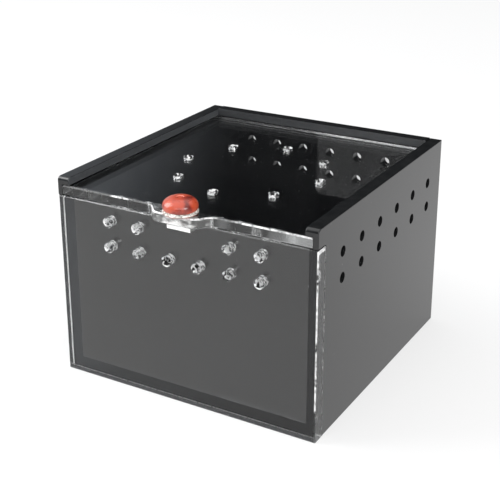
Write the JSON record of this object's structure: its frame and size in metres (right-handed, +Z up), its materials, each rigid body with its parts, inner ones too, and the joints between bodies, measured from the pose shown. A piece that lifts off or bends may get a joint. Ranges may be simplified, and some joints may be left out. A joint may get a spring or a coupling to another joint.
{
  "type": "insect box",
  "caption": "Small black and clear acrylic insect box with vent holes, a clear lid that slides forward in grooves, and a lift-out locking pin with a bead.",
  "frame": {"origin": "centre of the box's rectangular footprint, on the underside of the base", "axes": "+Z up, -Y towards the clear front panel that the lid slides over, +X to the right seen from the front"},
  "size_m": [0.1, 0.1116, 0.0769],
  "materials": {
    "black_acrylic": "gloss black cast acrylic, cut edges slightly duller",
    "clear_acrylic": "clear polished acrylic, cut edges frosted",
    "red_bead": "polished red with a darker swirl"
  },
  "bodies": {
    "box": {"base_plate": "black_acrylic", "back_panel": "black_acrylic", "left_side_panel": "black_acrylic", "right_side_panel": "black_acrylic", "front_panel": "clear_acrylic", "keeper_block": "clear_acrylic"},
    "lid": {"sliding_lid": "clear_acrylic"},
    "lock_pin": {"lock_flange": "clear_acrylic", "lock_bead": "red_bead", "lock_rod": "clear_acrylic"}
  },
  "joints": [
    {"name": "lid_slide", "type": "slide", "parent": "box", "child": "lid", "axis": [0, -1, 0], "range_m": [0, 0.1]},
    {"name": "pin_lift", "type": "slide", "parent": "lid", "child": "lock_pin", "axis": [0, 0, 1], "range_m": [0, 0.008]}
  ]
}
